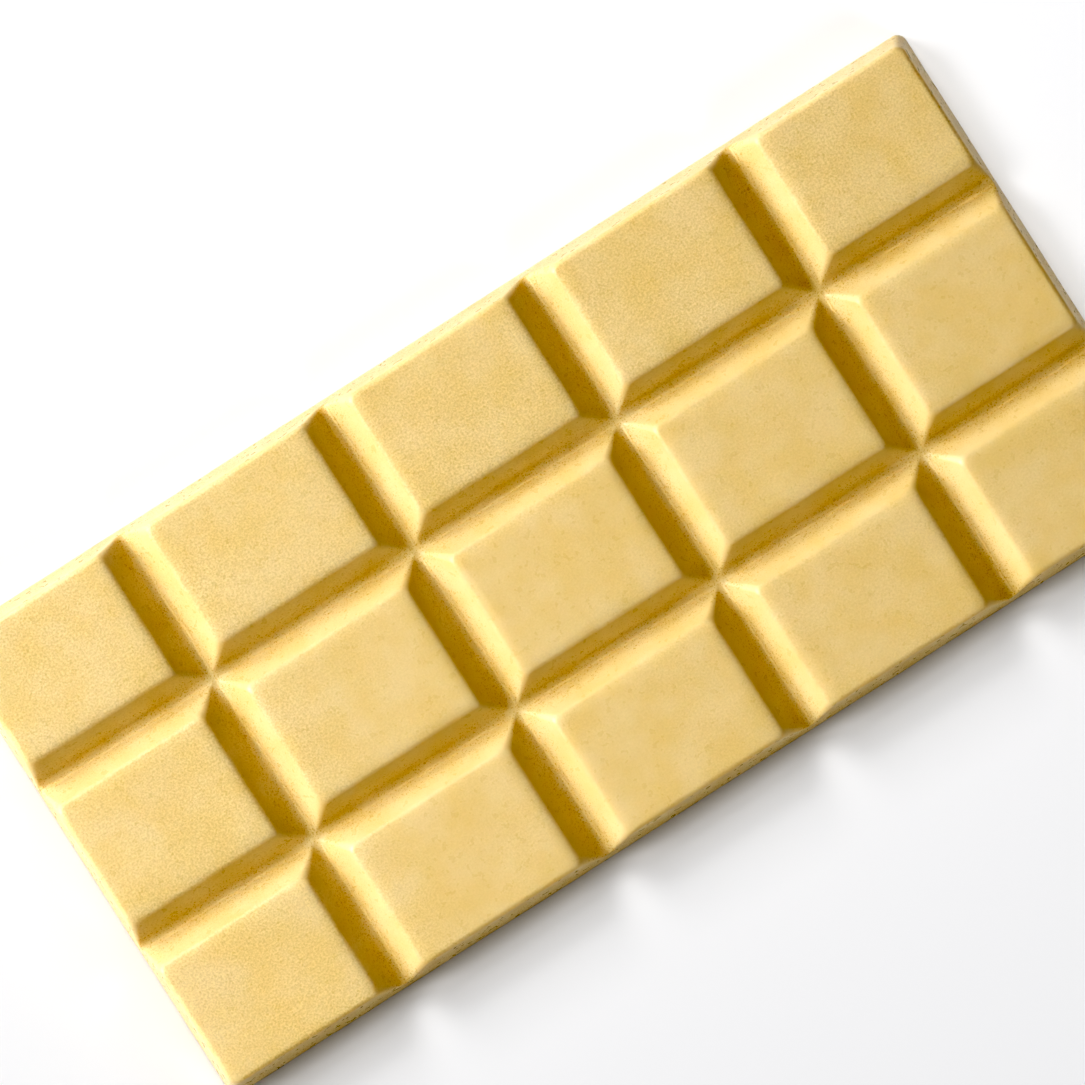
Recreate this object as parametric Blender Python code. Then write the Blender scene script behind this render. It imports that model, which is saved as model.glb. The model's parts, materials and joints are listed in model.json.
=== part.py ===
"""A plain bar of white chocolate, moulded in one piece.

Mitred pieces stand in columns and rows on one slab, with V grooves between them. The bar
lies on its flat back, with the centre of the back at the origin. Its length runs along X,
its width along Y, and the moulded face looks up. Sizes are in metres.
"""
import math

import bmesh
import bpy

# The whole bar. Length and width are those of the back, where the bar is widest.
BAR_LENGTH = 0.160
BAR_WIDTH = 0.0763
BAR_HEIGHT = 0.0076
WALL_LEAN = 0.0019  # how far the outer wall leans in on its way up
WALL_RIM_RADIUS = 0.0009
BAR_CORNER_RADIUS = 0.0015

# The pieces, and the grooves that part them.
COLUMNS = 5
ROWS = 3
COLUMN_PITCH = 0.0335
ROW_PITCH = 0.0265
GROOVE_FLOOR = 0.0036  # height of the chocolate left under a groove
GROOVE_FLOOR_RADIUS = 0.0005
CROSS_GROOVE_SLOPE = math.radians(48.0)  # walls of the grooves that run across the bar
LONG_GROOVE_SLOPE = math.radians(50.0)  # walls of the grooves that run along the bar
PIECE_RIM_RADIUS = 0.0015
PIECE_CORNER_RADIUS = 0.0012  # at the top; it closes to a sharp mitre on the way down

# How many flat steps stand for each round stretch.
FLOOR_STEPS = 2
RIM_STEPS = 4
CORNER_STEPS = 4

# The four corners of an outline, in turn: the side each way, and where its arc starts.
CORNERS = ((-1, -1, math.pi), (1, -1, 1.5 * math.pi), (1, 1, 0.0), (-1, 1, 0.5 * math.pi))
WELD_DISTANCE = 1e-6
SMOOTH_ANGLE = math.radians(35.0)


def arc_run(radius, drop):
    """How far an arc that starts level has run sideways when it has dropped this much."""
    return math.sqrt(radius ** 2 - (radius - drop) ** 2)


def arc_drop(radius, slope):
    """How far an arc that starts level has dropped when it reaches a slope."""
    return radius * (1.0 - math.cos(slope))


def groove_half_width(slope):
    """From a groove's middle to the sharp edge where its straight wall would meet the top."""
    lost_tip = GROOVE_FLOOR_RADIUS * (1.0 / math.cos(slope) - 1.0)
    return (BAR_HEIGHT - GROOVE_FLOOR + lost_tip) / math.tan(slope)


def groove_inset(height, slope):
    """From a groove's middle to its wall: a round floor, a straight wall and a round rim."""
    rise = max(height - GROOVE_FLOOR, 0.0)
    drop = BAR_HEIGHT - height
    half_width = groove_half_width(slope)
    if rise < arc_drop(GROOVE_FLOOR_RADIUS, slope):
        return arc_run(GROOVE_FLOOR_RADIUS, rise)
    if drop < arc_drop(PIECE_RIM_RADIUS, slope):
        rim_start = half_width + PIECE_RIM_RADIUS * math.tan(slope / 2.0)
        return rim_start - arc_run(PIECE_RIM_RADIUS, drop)
    return half_width - drop / math.tan(slope)


def wall_inset(height):
    """From the outline of the back to the outer wall: a straight lean and a round rim."""
    slope = math.atan2(BAR_HEIGHT, WALL_LEAN)
    drop = BAR_HEIGHT - height
    if drop < arc_drop(WALL_RIM_RADIUS, slope):
        rim_start = WALL_LEAN + WALL_RIM_RADIUS * math.tan(slope / 2.0)
        return rim_start - arc_run(WALL_RIM_RADIUS, drop)
    return WALL_LEAN * height / BAR_HEIGHT


def floor_heights():
    """The heights of the outlines up a groove's round floor."""
    slope = max(CROSS_GROOVE_SLOPE, LONG_GROOVE_SLOPE)
    steps = range(FLOOR_STEPS + 1)
    return [GROOVE_FLOOR + arc_drop(GROOVE_FLOOR_RADIUS, slope * step / FLOOR_STEPS) for step in steps]


def rim_heights():
    """The heights of the outlines over the round rims, up to the flat top."""
    slope = max(CROSS_GROOVE_SLOPE, LONG_GROOVE_SLOPE)
    wall_slope = math.atan2(BAR_HEIGHT, WALL_LEAN)
    heights = [BAR_HEIGHT - arc_drop(WALL_RIM_RADIUS, wall_slope)]
    for step in range(RIM_STEPS, -1, -1):
        heights.append(BAR_HEIGHT - arc_drop(PIECE_RIM_RADIUS, slope * step / RIM_STEPS))
    return heights


def piece_span(index, count, pitch, size, slope, height):
    """Where a piece starts and ends along one axis, between two grooves or at the outer wall."""
    first_groove = -(count - 2) / 2.0 * pitch
    low = first_groove + (index - 1) * pitch + groove_inset(height, slope)
    high = first_groove + index * pitch - groove_inset(height, slope)
    if index == 0:
        low = -size / 2.0 + wall_inset(height)
    if index == count - 1:
        high = size / 2.0 - wall_inset(height)
    return low, high


def corner_radius(column, row, side_x, side_y, height):
    """The bar's own corners keep one radius. A mitre is sharp low down and rounder above."""
    at_end = column == (0 if side_x < 0 else COLUMNS - 1)
    at_edge = row == (0 if side_y < 0 else ROWS - 1)
    if at_end and at_edge:
        return BAR_CORNER_RADIUS
    sharp_below = floor_heights()[-1]
    share = (height - sharp_below) / (BAR_HEIGHT - sharp_below)
    return PIECE_CORNER_RADIUS * max(share, 0.0)


def piece_outline(bm, column, row, height):
    """A ring of vertices round one piece at one height."""
    x_span = piece_span(column, COLUMNS, COLUMN_PITCH, BAR_LENGTH, CROSS_GROOVE_SLOPE, height)
    y_span = piece_span(row, ROWS, ROW_PITCH, BAR_WIDTH, LONG_GROOVE_SLOPE, height)
    ring = []
    for side_x, side_y, start in CORNERS:
        radius = corner_radius(column, row, side_x, side_y, height)
        centre_x = x_span[side_x > 0] - side_x * radius
        centre_y = y_span[side_y > 0] - side_y * radius
        for step in range(CORNER_STEPS + 1):
            angle = start + 0.5 * math.pi * step / CORNER_STEPS
            x = centre_x + radius * math.cos(angle)
            y = centre_y + radius * math.sin(angle)
            ring.append(bm.verts.new((x, y, height)))
    return ring


def add_piece(bm, column, row):
    """Loft one piece through its outlines and close its top."""
    heights = floor_heights() + rim_heights()
    rings = [piece_outline(bm, column, row, height) for height in heights]
    for lower, upper in zip(rings, rings[1:]):
        for i, corner in enumerate(lower):
            previous = i - 1
            bm.faces.new((lower[previous], corner, upper[i], upper[previous]))
    bm.faces.new(rings[-1])


def add_slab(bm):
    """Carry the outer wall down from the groove floor, and close the flat back."""
    open_edges = [edge for edge in bm.edges if edge.is_boundary]
    extruded = bmesh.ops.extrude_edge_only(bm, edges=open_edges)["geom"]
    spread = wall_inset(GROOVE_FLOOR)
    arc_start_x = BAR_LENGTH / 2.0 - spread - BAR_CORNER_RADIUS - WELD_DISTANCE
    arc_start_y = BAR_WIDTH / 2.0 - spread - BAR_CORNER_RADIUS - WELD_DISTANCE
    for vertex in extruded:
        if isinstance(vertex, bmesh.types.BMVert):
            if abs(vertex.co.x) > arc_start_x:
                vertex.co.x += math.copysign(spread, vertex.co.x)
            if abs(vertex.co.y) > arc_start_y:
                vertex.co.y += math.copysign(spread, vertex.co.y)
            vertex.co.z = 0.0
    back_edges = [edge for edge in extruded if isinstance(edge, bmesh.types.BMEdge)]
    bmesh.ops.edgeloop_fill(bm, edges=[edge for edge in back_edges if edge.is_boundary])


def white_chocolate():
    """Ivory chocolate with a soft, waxy shine."""
    material = bpy.data.materials.new("white_chocolate")
    material.use_nodes = True
    shader = material.node_tree.nodes["Principled BSDF"]
    shader.inputs["Base Color"].default_value = (0.83, 0.62, 0.25, 1.0)
    shader.inputs["Roughness"].default_value = 0.42
    shader.inputs["Metallic"].default_value = 0.0
    return material


def chocolate_bar():
    """The whole bar as one closed body."""
    bm = bmesh.new()
    for column in range(COLUMNS):
        for row in range(ROWS):
            add_piece(bm, column, row)
    bmesh.ops.remove_doubles(bm, verts=bm.verts, dist=WELD_DISTANCE)
    add_slab(bm)
    bmesh.ops.recalc_face_normals(bm, faces=bm.faces)
    mesh = bpy.data.meshes.new("chocolate_bar")
    bm.to_mesh(mesh)
    bm.free()
    mesh.shade_smooth()
    mesh.set_sharp_from_angle(angle=SMOOTH_ANGLE)
    bar = bpy.data.objects.new("chocolate_bar", mesh)
    bar.data.materials.append(white_chocolate())
    bpy.context.scene.collection.objects.link(bar)


for leftover in list(bpy.data.objects):
    bpy.data.objects.remove(leftover)
chocolate_bar()
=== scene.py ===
# %% [markdown]
# # A bar of white chocolate
#
# The object is one plain bar of white chocolate: fifteen pieces, five along and three across,
# that stand on one thin slab. It was poured into a mould and cooled. What lay against the
# mould came out crisp and slightly glossy. The back was the open side, so it is only nearly
# flat.
#
# In Blender the bar could be cut out of a block with fifteen boolean solids, or sculpted. Here
# each piece is lofted through outlines that follow the mould's own section, because that puts
# rows of clean faces along every round edge. The solid that the frame holds already has the
# true size, so the script starts by loading it and measures everything else from it.

# %% Load the frame
import json
import math
from collections import namedtuple

import bmesh
import bpy
from mathutils import Euler, Matrix, Vector, noise

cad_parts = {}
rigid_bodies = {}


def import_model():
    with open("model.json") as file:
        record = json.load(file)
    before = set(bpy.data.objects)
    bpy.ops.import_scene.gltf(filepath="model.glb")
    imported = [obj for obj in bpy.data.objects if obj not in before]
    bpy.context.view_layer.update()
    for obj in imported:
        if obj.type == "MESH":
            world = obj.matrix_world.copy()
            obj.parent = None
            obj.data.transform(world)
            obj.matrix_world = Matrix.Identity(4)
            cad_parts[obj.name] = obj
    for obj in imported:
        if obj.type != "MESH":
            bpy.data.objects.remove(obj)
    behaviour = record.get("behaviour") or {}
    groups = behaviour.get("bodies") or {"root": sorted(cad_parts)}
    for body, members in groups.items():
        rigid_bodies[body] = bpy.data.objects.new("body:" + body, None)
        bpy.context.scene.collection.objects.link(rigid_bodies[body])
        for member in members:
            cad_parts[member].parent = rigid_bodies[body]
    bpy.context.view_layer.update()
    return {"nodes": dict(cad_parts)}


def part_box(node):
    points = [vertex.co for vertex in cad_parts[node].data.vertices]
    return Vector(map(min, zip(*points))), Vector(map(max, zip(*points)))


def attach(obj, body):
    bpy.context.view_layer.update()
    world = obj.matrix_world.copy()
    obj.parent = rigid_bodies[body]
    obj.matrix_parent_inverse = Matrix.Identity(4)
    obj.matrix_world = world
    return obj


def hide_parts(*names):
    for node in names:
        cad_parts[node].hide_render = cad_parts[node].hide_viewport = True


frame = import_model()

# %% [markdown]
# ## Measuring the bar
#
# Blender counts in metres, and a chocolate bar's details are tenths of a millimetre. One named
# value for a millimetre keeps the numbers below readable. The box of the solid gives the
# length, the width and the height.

MM = 0.001
lowest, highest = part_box("chocolate_bar")
bar_size = highest - lowest
print("bar in mm:", [round(side / MM, 2) for side in bar_size])

# %% [markdown]
# ## Where the grooves run
#
# The grooves part the pieces, and people snap the bar along them. Four run across the bar and
# two run along it. Their places could be typed in again, but then two files would have to
# agree. The solid has points on the floor of a groove only where the groove meets another one or
# the outer wall. So its eight inner crossings can be read off the frame, and they give every
# groove line and the depth.

# %% Find the grooves
BACK_LAYER = 0.5 * MM  # every point lower than this belongs to the back
HEIGHT_MARGIN = 0.01 * MM
EDGE_MARGIN = 5.0 * MM
node_points = [vertex.co for vertex in frame["nodes"]["chocolate_bar"].data.vertices]
raised_points = [point for point in node_points if point.z > BACK_LAYER]
groove_floor = min(point.z for point in raised_points)
crossings = [
    point for point in raised_points
    if point.z < groove_floor + HEIGHT_MARGIN
    and abs(point.x) < bar_size.x / 2 - EDGE_MARGIN
    and abs(point.y) < bar_size.y / 2 - EDGE_MARGIN
]
cross_grooves = sorted({round(point.x, 5) for point in crossings})
long_grooves = sorted({round(point.y, 5) for point in crossings})
print("grooves across at mm:", [x / MM for x in cross_grooves])
print("grooves along at mm:", [y / MM for y in long_grooves])
print("chocolate under a groove, mm:", round(groove_floor / MM, 2))

# %% [markdown]
# ## Soft rims
#
# No edge of a poured bar is sharp. Beside a groove each top starts to fall away more than a
# millimetre before its rim, and then rolls over into the wall. One arc alone looks machined,
# because its shading starts at a line. Two arcs that share a tangent, a long shoulder and a
# short rim, start gently and still turn quickly at the end. The outer edge is rounded in the
# same way, only tighter.

# %% The rounding between a top and its wall
Rounding = namedtuple("Rounding", "shoulder_radius shoulder_angle rim_radius")
GROOVE_ROUNDING = Rounding(7.0 * MM, math.radians(11.0), 1.3 * MM)
EDGE_ROUNDING = Rounding(3.0 * MM, math.radians(7.0), 0.9 * MM)
top = bar_size.z


def arc_run(radius, drop):
    """How far an arc that starts level has run sideways when it has dropped this much."""
    return math.sqrt(max(radius ** 2 - (radius - drop) ** 2, 0.0))


def arc_drop(radius, angle):
    """How far an arc that starts level has dropped when it reaches this slope."""
    return radius * (1.0 - math.cos(angle))


def rounding_drop(shape, angle):
    """How far the top has dropped when shoulder and rim together reach this slope."""
    if angle < shape.shoulder_angle:
        return arc_drop(shape.shoulder_radius, angle)
    rim_part = shape.rim_radius * (math.cos(shape.shoulder_angle) - math.cos(angle))
    return arc_drop(shape.shoulder_radius, shape.shoulder_angle) + rim_part


def rounding_run(shape, drop):
    """How far shoulder and rim have run sideways when they have dropped this much."""
    shoulder_drop = arc_drop(shape.shoulder_radius, shape.shoulder_angle)
    if drop < shoulder_drop:
        return arc_run(shape.shoulder_radius, drop)
    cosine = math.cos(shape.shoulder_angle) - (drop - shoulder_drop) / shape.rim_radius
    shoulder_run = shape.shoulder_radius * math.sin(shape.shoulder_angle)
    rim_sine = math.sqrt(1.0 - cosine ** 2) - math.sin(shape.shoulder_angle)
    return shoulder_run + shape.rim_radius * rim_sine


def rounded_off(shape, drop, slope):
    """How far in the rounded surface lies from the straight wall, this far below the top."""
    whole_drop = rounding_drop(shape, slope)
    if drop >= whole_drop:
        return 0.0
    rest = rounding_run(shape, whole_drop) - rounding_run(shape, drop)
    return rest - (whole_drop - drop) / math.tan(slope)


for name, shape in (("a groove", GROOVE_ROUNDING), ("the outer edge", EDGE_ROUNDING)):
    shoulder = shape.shoulder_radius * math.sin(shape.shoulder_angle)
    print("at", name, "the top starts to fall", round(shoulder / MM, 2), "mm before the rim")

# %% [markdown]
# ## The section of a groove
#
# Cut across a groove and its outline is a V with a round floor, two straight walls and soft
# rims. The walls lean back so that the cooled bar drops out of the mould. The section is
# worked out as a function that answers one question: at this height, how far is the wall from
# the middle of the groove? Everything that is lofted below asks it.

# %% The groove's section
FLOOR_RADIUS = 1.2 * MM
CROSS_SLOPE = math.radians(51.0)
LONG_SLOPE = math.radians(53.0)


def groove_inset(height, slope):
    """From the middle of a groove to its wall, at one height."""
    rise = max(height - groove_floor, 0.0)
    if rise < arc_drop(FLOOR_RADIUS, slope):
        return arc_run(FLOOR_RADIUS, rise)
    drop = top - height
    lost_tip = FLOOR_RADIUS * (1.0 / math.cos(slope) - 1.0)
    half_width = (top - groove_floor + lost_tip) / math.tan(slope)
    return half_width - drop / math.tan(slope) + rounded_off(GROOVE_ROUNDING, drop, slope)


for name, slope in (("across", CROSS_SLOPE), ("along", LONG_SLOPE)):
    print("groove", name, "is", round(2 * groove_inset(top, slope) / MM, 2), "mm wide at the top")

# %% [markdown]
# ## The outer wall
#
# The bar's outer wall leans in on its way up too, and turns over into the top with the tighter
# of the two roundings. It gets the same kind of function.

# %% The outer wall's section
WALL_LEAN = 1.9 * MM
WALL_SLOPE = math.atan2(top, WALL_LEAN)


def wall_inset(height):
    """From the bar's widest outline to the outer wall, at one height."""
    return WALL_LEAN * height / top + rounded_off(EDGE_ROUNDING, top - height, WALL_SLOPE)


print("the flat top starts", round(wall_inset(top) / MM, 2), "mm in from the widest outline")

# %% [markdown]
# ## Which heights get an outline
#
# A loft is only as smooth as its steps. Straight walls need few outlines, and round stretches
# need one every few degrees, so the heights crowd together at the floor and at the rim. They
# are closest beside the middle of the floor, where a fine seam is raised later on.

# %% The heights of the outlines
SEAM_OFFSET = 0.42 * MM
SEAM_HALF_WIDTH = 0.17 * MM
SEAM_STEPS = 6
FLOOR_STEPS = 3
WALL_STEPS = 6
RIM_STEPS = 7
SHOULDER_STEPS = 4


def even_steps(start, end, count):
    """Values from start to end, both included, in equal steps."""
    return [start + (end - start) * step / count for step in range(count + 1)]


def outline_heights():
    """Heights from the floor of the grooves to the top, close together where the section curves."""
    steepest = max(CROSS_SLOPE, LONG_SLOPE)
    seam_start = math.asin((SEAM_OFFSET - SEAM_HALF_WIDTH) / FLOOR_RADIUS)
    seam_end = math.asin((SEAM_OFFSET + SEAM_HALF_WIDTH) / FLOOR_RADIUS)
    floor_angles = even_steps(0.0, seam_start, FLOOR_STEPS)
    floor_angles += even_steps(seam_start, seam_end, SEAM_STEPS)[1:]
    floor_angles += even_steps(seam_end, steepest, FLOOR_STEPS)[1:]
    heights = [groove_floor + arc_drop(FLOOR_RADIUS, angle) for angle in floor_angles]
    wall_head = top - rounding_drop(EDGE_ROUNDING, WALL_SLOPE)
    heights += even_steps(heights[-1], wall_head, WALL_STEPS)[1:]
    shoulder = GROOVE_ROUNDING.shoulder_angle
    over_rim = even_steps(steepest, shoulder, RIM_STEPS)
    over_rim += even_steps(shoulder, 0.0, SHOULDER_STEPS)[1:]
    heights += [top - rounding_drop(GROOVE_ROUNDING, angle) for angle in over_rim]
    return heights


heights = outline_heights()
print(len(heights), "outlines from", round(heights[0] / MM, 2), "to", round(heights[-1] / MM, 2), "mm")

# %% [markdown]
# ## Stations along a side
#
# Neighbouring pieces are welded later, so the points on their shared edges must be the same
# points. Both sides of a groove take their stations from one list: it starts at one end of the
# bar, stops at each groove, and splits every stretch in the same number of steps.

# %% Stations along a side
STEPS_ALONG_X = 34
STEPS_ALONG_Y = 26


def stations(start, end, grooves, count):
    """Points along a whole side of the bar, with the same number of steps between grooves."""
    stops = [start, *grooves, end]
    found = [start]
    for left, right in zip(stops, stops[1:]):
        found += even_steps(left, right, count)[1:]
    return found


whole_length = stations(-bar_size.x / 2.0, bar_size.x / 2.0, cross_grooves, STEPS_ALONG_X)
print(len(whole_length), "stations along the length of the bar")

# %% [markdown]
# ## An outline with round corners
#
# Every outline here is a rectangle with round corners, whether it belongs to one piece or to the
# whole bar. One function walks round it: an arc at each corner, and the stations of the side
# that follows. A corner with no radius repeats one point, and the weld tidies that up.

# %% Walk round an outline
CORNER_STEPS = 6
QUARTER_TURN = math.pi / 2.0
CORNER_SIDES = ((-1, -1), (1, -1), (1, 1), (-1, 1))


def corner_arc(x_span, y_span, side, radius):
    """Points round one corner, anticlockwise seen from above."""
    centre_x = x_span[side[0] > 0] - side[0] * radius
    centre_y = y_span[side[1] > 0] - side[1] * radius
    start = math.pi + QUARTER_TURN * CORNER_SIDES.index(side)
    angles = even_steps(start, start + QUARTER_TURN, CORNER_STEPS)
    return [(centre_x + radius * math.cos(a), centre_y + radius * math.sin(a)) for a in angles]


def outline(x_span, y_span, radii, x_grooves=(), y_grooves=()):
    """Points round a rectangle with round corners, with stations along its sides."""
    arcs = [corner_arc(x_span, y_span, side, radius) for side, radius in zip(CORNER_SIDES, radii)]
    points = []
    for number, arc in enumerate(arcs):
        points += arc
        start, end = arc[-1], arcs[(number + 1) % len(arcs)][0]
        along_x = number % 2 == 0
        grooves, count = (x_grooves, STEPS_ALONG_X) if along_x else (y_grooves, STEPS_ALONG_Y)
        axis = 0 if along_x else 1
        if number >= 2:
            grooves = grooves[::-1]
        side = stations(start[axis], end[axis], grooves, count)[1:-1]
        points += [(value, start[1]) if along_x else (start[0], value) for value in side]
    return points


# %% [markdown]
# ## One piece
#
# A piece is bounded by a groove or by the outer wall on each side. Where two grooves meet, the
# corner between their walls is a crisp mitre low down and rounder towards the top, because a
# mould's cutter leaves it so. The bar's own corners keep one radius.

# %% The outline of one piece at one height
BAR_CORNER_RADIUS = 1.5 * MM
PIECE_CORNER_RADIUS = 1.2 * MM
MITRE_FOOT_RADIUS = 0.4 * MM
FOOT_RISE = 0.12 * MM
columns = len(cross_grooves) + 1
rows = len(long_grooves) + 1


def piece_span(index, grooves, size, slope, height):
    """Where a piece starts and ends along one axis."""
    low = -size / 2.0 + wall_inset(height)
    high = size / 2.0 - wall_inset(height)
    if index > 0:
        low = grooves[index - 1] + groove_inset(height, slope)
    if index < len(grooves):
        high = grooves[index] - groove_inset(height, slope)
    return low, high


def corner_radii(column, row, height):
    """The radius of each corner of a piece, in the order of CORNER_SIDES."""
    rise = height - groove_floor
    mitre = MITRE_FOOT_RADIUS * min(rise / FOOT_RISE, 1.0)
    mitre += (PIECE_CORNER_RADIUS - MITRE_FOOT_RADIUS) * rise / (top - groove_floor)
    radii = []
    for side_x, side_y in CORNER_SIDES:
        at_end = column == (0 if side_x < 0 else columns - 1)
        at_edge = row == (0 if side_y < 0 else rows - 1)
        radii.append(BAR_CORNER_RADIUS if at_end and at_edge else mitre)
    return radii


print(columns, "columns and", rows, "rows of pieces")

# %% [markdown]
# ## From outlines to faces
#
# A loft joins each outline to the next with a belt of four-sided faces. The flat top is closed
# with a grid: one more outline with square corners lies just inside the rim, and its stations
# are the grid's border, so the grid fits without a gap.

# %% Helpers that make faces
def ring_of(bm, points, height):
    """A closed ring of vertices at one height."""
    return [bm.verts.new((x, y, height)) for x, y in points]


def belt(bm, lower, upper):
    """Join two rings with a belt of faces."""
    for i in range(len(lower)):
        bm.faces.new((lower[i - 1], lower[i], upper[i], upper[i - 1]))


def grid(bm, x_stations, y_stations, height, face_up):
    """A flat grid of faces over a rectangle."""
    lines = [[bm.verts.new((x, y, height)) for x in x_stations] for y in y_stations]
    for near, far in zip(lines, lines[1:]):
        for i in range(len(near) - 1):
            corners = (near[i], near[i + 1], far[i + 1], far[i])
            bm.faces.new(corners if face_up else corners[::-1])


# %% Loft one piece
TOP_BORDER = 1.3 * MM


def add_piece(bm, column, row):
    """One piece, from the floor of the grooves to its closed top."""
    rings = []
    for height in heights:
        x_span = piece_span(column, cross_grooves, bar_size.x, CROSS_SLOPE, height)
        y_span = piece_span(row, long_grooves, bar_size.y, LONG_SLOPE, height)
        rings.append(ring_of(bm, outline(x_span, y_span, corner_radii(column, row, height)), height))
    x_inner = (x_span[0] + TOP_BORDER, x_span[1] - TOP_BORDER)
    y_inner = (y_span[0] + TOP_BORDER, y_span[1] - TOP_BORDER)
    rings.append(ring_of(bm, outline(x_inner, y_inner, (0.0,) * 4), top))
    for lower, upper in zip(rings, rings[1:]):
        belt(bm, lower, upper)
    grid(bm, even_steps(*x_inner, STEPS_ALONG_X), even_steps(*y_inner, STEPS_ALONG_Y), top, True)


# %% [markdown]
# ## The slab and its back
#
# Below the grooves the bar is one slab. Its wall carries on down from the pieces, turns in with a
# tiny round at the bottom, and the back is closed with one large grid. The slab's outlines have
# stations at every groove, so the slab and the fifteen pieces share their edge points.

# %% The slab
SLAB_STEPS = 5
BASE_RADIUS = 0.25 * MM
BASE_STEPS = 3
BACK_BORDER = 2.2 * MM


def slab_ring(bm, inset, radius, height):
    """The whole bar's outline, this far in from its widest outline."""
    x_span = (-bar_size.x / 2.0 + inset, bar_size.x / 2.0 - inset)
    y_span = (-bar_size.y / 2.0 + inset, bar_size.y / 2.0 - inset)
    points = outline(x_span, y_span, (radius,) * 4, cross_grooves, long_grooves)
    return ring_of(bm, points, height)


def add_slab(bm):
    """The wall under the grooves, the round base and the back."""
    rings = []
    for height in even_steps(groove_floor, BASE_RADIUS, SLAB_STEPS):
        rings.append(slab_ring(bm, wall_inset(height), BAR_CORNER_RADIUS, height))
    for step in range(1, BASE_STEPS + 1):
        angle = QUARTER_TURN * step / BASE_STEPS
        inset = wall_inset(BASE_RADIUS) + arc_drop(BASE_RADIUS, angle)
        rings.append(slab_ring(bm, inset, BAR_CORNER_RADIUS, BASE_RADIUS * (1.0 - math.sin(angle))))
    rings.append(slab_ring(bm, BACK_BORDER, 0.0, 0.0))
    for upper, lower in zip(rings, rings[1:]):
        belt(bm, lower, upper)
    x_low, x_high = -bar_size.x / 2.0 + BACK_BORDER, bar_size.x / 2.0 - BACK_BORDER
    y_low, y_high = -bar_size.y / 2.0 + BACK_BORDER, bar_size.y / 2.0 - BACK_BORDER
    x_stations = stations(x_low, x_high, cross_grooves, STEPS_ALONG_X)
    y_stations = stations(y_low, y_high, long_grooves, STEPS_ALONG_Y)
    grid(bm, x_stations, y_stations, 0.0, False)


# %% Put the body together
WELD_DISTANCE = 0.001 * MM


def bar_body():
    """Fifteen pieces and the slab, welded to one closed body."""
    bm = bmesh.new()
    for column in range(columns):
        for row in range(rows):
            add_piece(bm, column, row)
    add_slab(bm)
    bmesh.ops.remove_doubles(bm, verts=bm.verts, dist=WELD_DISTANCE)
    return bm


body = bar_body()
open_edges = [edge for edge in body.edges if not edge.is_manifold]
print("body:", len(body.faces), "faces,", len(open_edges), "edges that don't join two faces")

# %% [markdown]
# ## The seam in the grooves, and small unevenness
#
# The cutter that made the mould left a fine step where its two passes met, and chocolate copies
# it as a low, sharp seam beside the middle of each groove. Nothing on a real bar is perfectly
# true either: tops dish a little as the chocolate shrinks, walls waver, and the seam comes and
# goes. The points are moved inwards only, so the bar never grows past its own size.

# %% Seam and waver
SEAM_HEIGHT = 0.16 * MM
SEAM_FADE = 1.2 * MM  # how far before a crossing or an end the seam starts to die out
SEAM_WANDER = 0.07 * MM
WANDER_RATE = 260.0  # rates are noise patches per metre
SEAM_SHARE, SEAM_SWING = 0.8, 0.5  # part of the seam that stays, and part that comes and goes
SEAM_SWING_RATE = 900.0
SLOW_WAVER, SLOW_RATE = 0.05 * MM, 110.0
QUICK_WAVER, QUICK_RATE = 0.022 * MM, 420.0
QUICK_SHIFT = Vector((7.0, 3.0, 5.0))  # keeps the quick waver from following the slow one


def nearest_offset(value, lines):
    """The signed distance to the nearest of these lines."""
    return min((value - line for line in lines), key=abs)


def wall_distance(x, y):
    """How far in a point lies from the outer wall at the height of the groove floor."""
    inset = wall_inset(groove_floor)
    return min(bar_size.x / 2.0 - inset - abs(x), bar_size.y / 2.0 - inset - abs(y))


def seam_lift(point):
    """How much the seam raises this point of a groove's floor."""
    across = nearest_offset(point.x, cross_grooves)
    along = nearest_offset(point.y, long_grooves)
    offset, other = (across, along) if abs(across) < abs(along) else (-along, across)
    wander = SEAM_WANDER * noise.noise(point * WANDER_RATE)
    share = 1.0 - abs(offset - SEAM_OFFSET - wander) / SEAM_HALF_WIDTH
    if share <= 0.0 or point.z < groove_floor - HEIGHT_MARGIN:
        return 0.0
    fade = min(max(wall_distance(point.x, point.y) / SEAM_FADE, 0.0), 1.0)
    fade *= min(max((abs(other) - FLOOR_RADIUS) / SEAM_FADE, 0.0), 1.0)
    swing = SEAM_SWING * noise.noise(point * SEAM_SWING_RATE)
    return SEAM_HEIGHT * fade * share * (SEAM_SHARE + swing)


def unevenness(point):
    """How far the surface at this point lies inside the true shape."""
    slow = SLOW_WAVER * (noise.noise(point * SLOW_RATE) + 1.0)
    quick = QUICK_WAVER * (noise.noise(point * QUICK_RATE + QUICK_SHIFT) + 1.0)
    return slow + quick


body.normal_update()
moves = []
for vertex in body.verts:
    inward = -vertex.normal * unevenness(vertex.co)
    moves.append(inward + Vector((0.0, 0.0, seam_lift(vertex.co))))
for vertex, move in zip(body.verts, moves):
    vertex.co += move
    vertex.co.z = max(vertex.co.z, 0.0)
print("largest move in mm:", round(max(move.length for move in moves) / MM, 3))

# %% Hand the body over as an object
mesh = bpy.data.meshes.new("white_chocolate_bar")
body.to_mesh(mesh)
body.free()
mesh.shade_smooth()
bar = bpy.data.objects.new("white_chocolate_bar", mesh)
bpy.context.scene.collection.objects.link(bar)
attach(bar, "root")
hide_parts("chocolate_bar")
print("triangles:", sum(len(face.vertices) - 2 for face in mesh.polygons))

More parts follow.
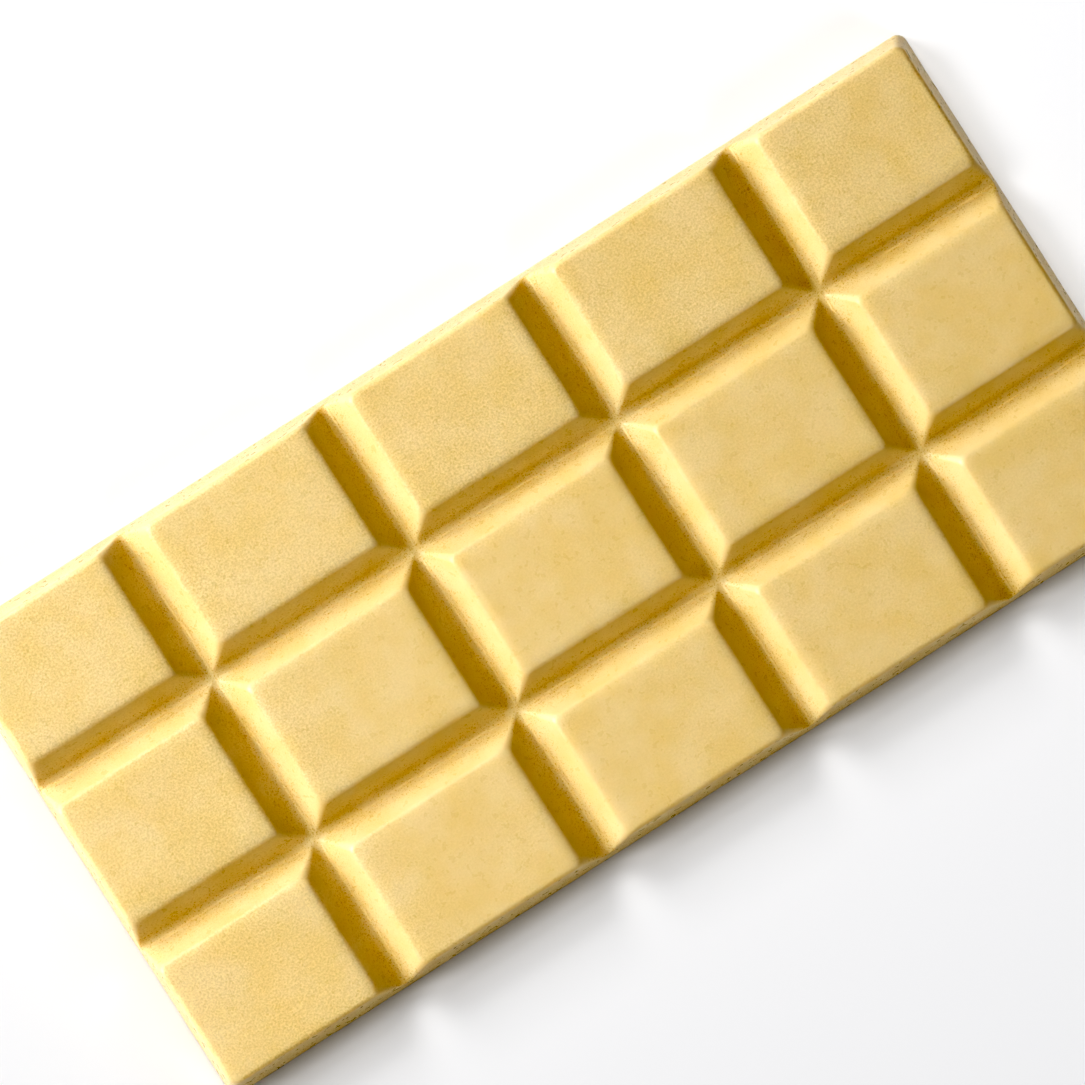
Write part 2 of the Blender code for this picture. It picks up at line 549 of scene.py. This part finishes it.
# %% [markdown]
# ## White chocolate
#
# White chocolate is cocoa butter, sugar and milk. Light goes in, wanders through the fat and
# comes out again a millimetre or more away, red farthest and blue least. That is why its shaded
# walls glow amber and its lit rims spread light into the tops. A flat colour can't do that, so
# the shader lets light scatter under the surface, with a reach of its own for each colour.
#
# Cycles can follow that light step by step, or blur it with a quick formula named after Burley.
# The formula is used here: it takes far less time, and with a short reach it keeps the creases
# sharp.

# %% The chocolate's shader
SCATTER_REACH = 0.5 * MM
SCATTER_SHARES = (3.0, 2.0, 1.0)  # how many times that far red, green and blue go
chocolate = bpy.data.materials.new("white_chocolate")
chocolate.use_nodes = True
tree = chocolate.node_tree
shader = tree.nodes["Principled BSDF"]
shader.inputs["IOR"].default_value = 1.46
shader.inputs["Specular IOR Level"].default_value = 0.4
shader.subsurface_method = "BURLEY"
shader.inputs["Subsurface Weight"].default_value = 1.0
shader.inputs["Subsurface Radius"].default_value = SCATTER_SHARES
shader.inputs["Subsurface Scale"].default_value = SCATTER_REACH
mesh.materials.append(chocolate)
place = tree.nodes.new("ShaderNodeTexCoord")

# %% [markdown]
# ## Fields that vary over the surface
#
# Everything that changes over the bar is built from cloudy noise that lies fixed in the
# chocolate, so it needs no unwrapping and has the same grain size on every wall. Four small
# helpers keep the node work short: one makes a cloud with patches of a given size, one spreads
# a field between two values, one joins two fields by a sum, and one blends two colours.

# %% Helpers for the fields
def cloud(size, detail=2.0, harshness=0.5):
    """A cloudy field whose patches are about this large."""
    node = tree.nodes.new("ShaderNodeTexNoise")
    node.inputs["Scale"].default_value = 1.0 / size
    node.inputs["Detail"].default_value = detail
    node.inputs["Roughness"].default_value = harshness
    tree.links.new(place.outputs["Object"], node.inputs["Vector"])
    return node.outputs["Fac"]


def spread(field, low, high, first, last):
    """Where the field runs from low to high, run from first to last, and stop there."""
    node = tree.nodes.new("ShaderNodeMapRange")
    tree.links.new(field, node.inputs["Value"])
    for name, value in (("From Min", low), ("From Max", high), ("To Min", first), ("To Max", last)):
        node.inputs[name].default_value = value
    return node.outputs["Result"]


def combine(operation, first, second):
    """Two fields, or a field and a number, joined by one sum."""
    node = tree.nodes.new("ShaderNodeMath")
    node.operation = operation
    for socket, value in zip(node.inputs, (first, second)):
        if isinstance(value, float):
            socket.default_value = value
        else:
            tree.links.new(value, socket)
    return node.outputs["Value"]


def blend(share, first, second, way="MIX"):
    """Blend two colours by a field. Each may be a colour or the result of another blend."""
    node = tree.nodes.new("ShaderNodeMix")
    node.data_type = "RGBA"
    node.blend_type = way
    tree.links.new(share, node.inputs["Factor"])
    for socket, value in ((node.inputs[6], first), (node.inputs[7], second)):
        if isinstance(value, tuple):
            socket.default_value = (*value, 1.0)
        else:
            tree.links.new(value, socket)
    return node.outputs[2]


# %% [markdown]
# ## Grain, specks and mottling
#
# Seen close, the tops have a fine golden grain of sugar and milk solids, about a third of a
# millimetre. It is strongest along the far row and down the first column, and comes and goes in
# patches. Over that lies a slow mottling. Low on the walls, near the floor of the grooves, small
# pits show where air stayed between mould and chocolate. The pits are cut into the relief, and the
# shade inside them is painted into the colour as dark specks. Each is a field of its own. Grain and
# pits change the colour and the relief (for the pits the colour is painted shade), and the mottling
# changes only the colour.

# %% The fields of the chocolate
GRAIN_SIZE = 0.30 * MM
SPECK_SIZE = 0.22 * MM
MOTTLE_SIZE = 5.0 * MM
PATCH_SIZE = 16.0 * MM
FAR_ROW_START, FAR_ROW_FULL = 7.0 * MM, 15.0 * MM
FIRST_COLUMN_FULL, FIRST_COLUMN_END = -46.0 * MM, -36.0 * MM
FAINT_GRAIN, STRONG_GRAIN = 0.28, 0.85
PATCH_LOSS, PATCH_GAIN = -0.10, 0.15
WALL_GRAIN = 0.30
WALL_SPECKS = 0.15
separate = tree.nodes.new("ShaderNodeSeparateXYZ")
tree.links.new(place.outputs["Object"], separate.inputs["Vector"])
height_field = separate.outputs["Z"]

far_row = spread(separate.outputs["Y"], FAR_ROW_START, FAR_ROW_FULL, 0.0, 1.0)
first_column = spread(separate.outputs["X"], FIRST_COLUMN_FULL, FIRST_COLUMN_END, 1.0, 0.0)
grainy_side = combine("MAXIMUM", far_row, first_column)
patches = spread(cloud(PATCH_SIZE, 1.0), 0.38, 0.62, PATCH_LOSS, PATCH_GAIN)
placed_grain = spread(grainy_side, 0.0, 1.0, FAINT_GRAIN, STRONG_GRAIN)
grain_on_top = combine("ADD", placed_grain, patches)
on_top = spread(height_field, top - 0.6 * MM, top - 0.15 * MM, WALL_GRAIN, 1.0)
grain = cloud(GRAIN_SIZE, 2.0, 0.6)
grain_strength = combine("MULTIPLY", grain_on_top, on_top)
low_down = spread(height_field, groove_floor + 0.9 * MM, groove_floor + 2.6 * MM, 1.0, WALL_SPECKS)
# Pit mask, strongest low in the grooves: it drives real pits in the relief and painted shade in the
# colour.
speck_threshold = spread(cloud(SPECK_SIZE, 1.5, 0.6), 0.57, 0.66, 0.0, 1.0)
below_top = spread(height_field, top - 1.0 * MM, top - 0.5 * MM, 1.0, 0.0)
pits_and_pit_shade = combine("MULTIPLY", combine("MULTIPLY", speck_threshold, low_down), below_top)
mottle = spread(cloud(MOTTLE_SIZE, 3.0), 0.35, 0.65, 0.0, 1.0)

# %% [markdown]
# ## Colour, shine and relief
#
# The colour runs from gold to ivory with the mottling. The grain lightens as much as it
# darkens, so it leaves the mean colour alone. The shine varies with a slow cloud, as the touch
# of the mould does. The relief is only hundredths of a millimetre, far too fine for the mesh,
# so it is left to a bump.

# %% Colour
GOLD = (0.770, 0.590, 0.293)
IVORY = (0.800, 0.632, 0.350)
GRAIN_DARK = (0.86, 0.85, 0.82)
GRAIN_LIGHT = (1.14, 1.15, 1.18)
# Painted shade: this colour darkens the pits low in the grooves and stands in for the shade inside
# them.
PAINTED_PIT_SHADE = (0.80, 0.70, 0.50)
body_colour = blend(mottle, GOLD, IVORY)
grain_tint = blend(spread(grain, 0.30, 0.70, 0.0, 1.0), GRAIN_DARK, GRAIN_LIGHT)
grained = blend(grain_strength, body_colour, grain_tint, "MULTIPLY")
# Painted shade: the pits low in the grooves are darkened in the base colour.
with_painted_pit_shade = blend(pits_and_pit_shade, grained, PAINTED_PIT_SHADE, "MULTIPLY")
tree.links.new(with_painted_pit_shade, shader.inputs["Base Color"])

# %% Shine
SHINE_PATCH = 1.2 * MM
SMOOTHEST, ROUGHEST = 0.26, 0.36
shine = spread(cloud(SHINE_PATCH, 2.0), 0.3, 0.7, SMOOTHEST, ROUGHEST)
tree.links.new(shine, shader.inputs["Roughness"])
print("roughness from", SMOOTHEST, "to", ROUGHEST)

# %% Relief
BUMP_DEPTH = 0.03 * MM
relief = combine("MULTIPLY", grain, grain_strength)
relief = combine("SUBTRACT", relief, pits_and_pit_shade)
bump = tree.nodes.new("ShaderNodeBump")
bump.inputs["Strength"].default_value = 1.0
bump.inputs["Distance"].default_value = BUMP_DEPTH
tree.links.new(relief, bump.inputs["Height"])
tree.links.new(bump.outputs["Normal"], shader.inputs["Normal"])
print("chocolate shader has", len(tree.nodes), "nodes")

# %% [markdown]
# ## Floor
#
# A pale, plain floor catches the shadow. It is no part of the bar.

# %% The floor
FLOOR_REACH = 2.0
FLOOR_GAP = 0.05 * MM
FLOOR_COLOUR = (0.92, 0.92, 0.93, 1.0)
floor_mesh = bpy.data.meshes.new("floor")
floor_corners = [(FLOOR_REACH * x, FLOOR_REACH * y, -FLOOR_GAP) for x, y in CORNER_SIDES]
floor_mesh.from_pydata(floor_corners, [], [(0, 1, 2, 3)])
floor = bpy.data.objects.new("floor", floor_mesh)
bpy.context.scene.collection.objects.link(floor)
floor_paint = bpy.data.materials.new("floor_paint")
floor_paint.use_nodes = True
floor_shader = floor_paint.node_tree.nodes["Principled BSDF"]
floor_shader.inputs["Base Color"].default_value = FLOOR_COLOUR
floor_shader.inputs["Roughness"].default_value = 0.9
floor_mesh.materials.append(floor_paint)
print("floor reaches", FLOOR_REACH, "m each way")

# %% [markdown]
# ## Light
#
# Most of the light comes from beyond the far left corner of the bar, from two soft lamps of one
# direction: the higher one lights the tops, and the lower one rakes across the grooves. The
# walls that face them turn almost white, and the walls that face away stay deep amber. Two more
# lamps come from farther round the far edge, one of them very low, and a weak one from the near
# side opens the shade.
#
# The floor behind such a bar is nearly white, and lamps as strong as that would bleach the
# chocolate. So there are two groups of lamps, and light linking lets each group light only the
# bar or only the floor. The bar still casts its shadow on the floor.

# %% A helper for lamps
LAMP_DISTANCE = 1.0
LAMP_SIZE = 0.35


def soft_lamp(name, direction, power):
    """A square lamp in this direction from the bar, turned to face it."""
    light = bpy.data.lights.new(name, "AREA")
    light.shape = "SQUARE"
    light.size = LAMP_SIZE
    light.energy = power
    lamp = bpy.data.objects.new(name, light)
    toward = Vector(direction).normalized()
    lamp.location = toward * LAMP_DISTANCE
    lamp.rotation_mode = "QUATERNION"
    lamp.rotation_quaternion = toward.to_track_quat("Z", "Y")
    bpy.context.scene.collection.objects.link(lamp)
    return lamp


def from_angles(azimuth, elevation):
    """A direction from degrees round from +X and degrees above the floor."""
    turn, lift = math.radians(azimuth), math.radians(elevation)
    return math.cos(turn) * math.cos(lift), math.sin(turn) * math.cos(lift), math.sin(lift)


# %% The two groups of lamps
bar_light = bpy.data.collections.new("lit_by_bar_lamps")
bar_light.objects.link(bar)
floor_light = bpy.data.collections.new("lit_by_floor_lamps")
floor_light.objects.link(floor)

# For each lamp: its name, degrees round from +X, degrees above the floor, and watts.
BAR_LAMPS = (
    ("key_lamp", 152.0, 38.0, 7.1),
    ("low_key_lamp", 152.0, 24.0, 3.5),
    ("edge_lamp", 110.0, 30.0, 3.0),
    ("rake_lamp", 120.0, 16.0, 1.7),
    ("near_fill", -70.0, 35.0, 2.3),
)
FLOOR_LAMPS = (
    ("floor_low_wash", 92.0, 32.0, 3.2),
    ("floor_wash", 92.0, 45.0, 2.6),
    ("floor_high", 92.0, 70.0, 1.2),
    ("floor_key", 143.0, 49.0, 2.65),
    ("floor_near", -70.0, 35.0, 2.1),
    ("floor_right", 20.0, 35.0, 1.2),
)
for lit, lamps in ((bar_light, BAR_LAMPS), (floor_light, FLOOR_LAMPS)):
    for name, azimuth, elevation, power in lamps:
        lamp = soft_lamp(name, from_angles(azimuth, elevation), power)
        lamp.light_linking.receiver_collection = lit
print(len(BAR_LAMPS), "lamps for the bar and", len(FLOOR_LAMPS), "for the floor")

# %% Faint surroundings
WORLD_STRENGTH = 0.08
world = bpy.data.worlds.new("studio")
world.use_nodes = True
world.node_tree.nodes["Background"].inputs["Color"].default_value = (1.0, 1.0, 1.0, 1.0)
world.node_tree.nodes["Background"].inputs["Strength"].default_value = WORLD_STRENGTH
bpy.context.scene.world = world

# %% [markdown]
# ## Camera
#
# The camera looks almost straight down from 60 cm with a long lens, so the bar hardly narrows
# with distance. It is turned about its own line of sight, and the bar lies slanted in the frame
# with two corners outside it.

# %% The camera
CAMERA_DISTANCE = 0.600
LOOK_POINT = Vector((-1.1 * MM, 4.5 * MM, 0.0))
TILT_X = math.radians(-0.50)
TILT_Y = math.radians(0.63)
ROLL = math.radians(-32.52)
SENSOR_WIDTH = 36.0  # the camera's own two sizes are in millimetres
FOCAL_LENGTH = 141.5
NEAREST = 0.01
lens = bpy.data.cameras.new("camera")
lens.sensor_width = SENSOR_WIDTH
lens.lens = FOCAL_LENGTH
lens.clip_start = NEAREST
camera = bpy.data.objects.new("camera", lens)
turned = Euler((TILT_X, TILT_Y, ROLL), "ZXY").to_matrix().to_4x4()
stand_back = Matrix.Translation((0, 0, CAMERA_DISTANCE))
camera.matrix_world = Matrix.Translation(LOOK_POINT) @ turned @ stand_back
bpy.context.scene.collection.objects.link(camera)
bpy.context.scene.camera = camera
print("field of view in degrees:", round(math.degrees(lens.angle), 1))

# %% [markdown]
# ## Contrast
#
# Shaded walls of real white chocolate look deeper and more saturated than the plain Standard
# view makes them. A stronger contrast helps, and a raised black level does the rest: it takes
# the weakest colour of a shaded wall, the blue, almost to nothing. The material can then keep
# the pale colour that the chocolate really has.

# %% The view
BLACK_LEVEL = 0.12
view = bpy.context.scene.view_settings
view.view_transform = "Standard"
view.look = "Medium High Contrast"
view.use_curve_mapping = True
view.curve_mapping.black_level = (BLACK_LEVEL,) * 3
view.curve_mapping.update()
print("black level:", BLACK_LEVEL)
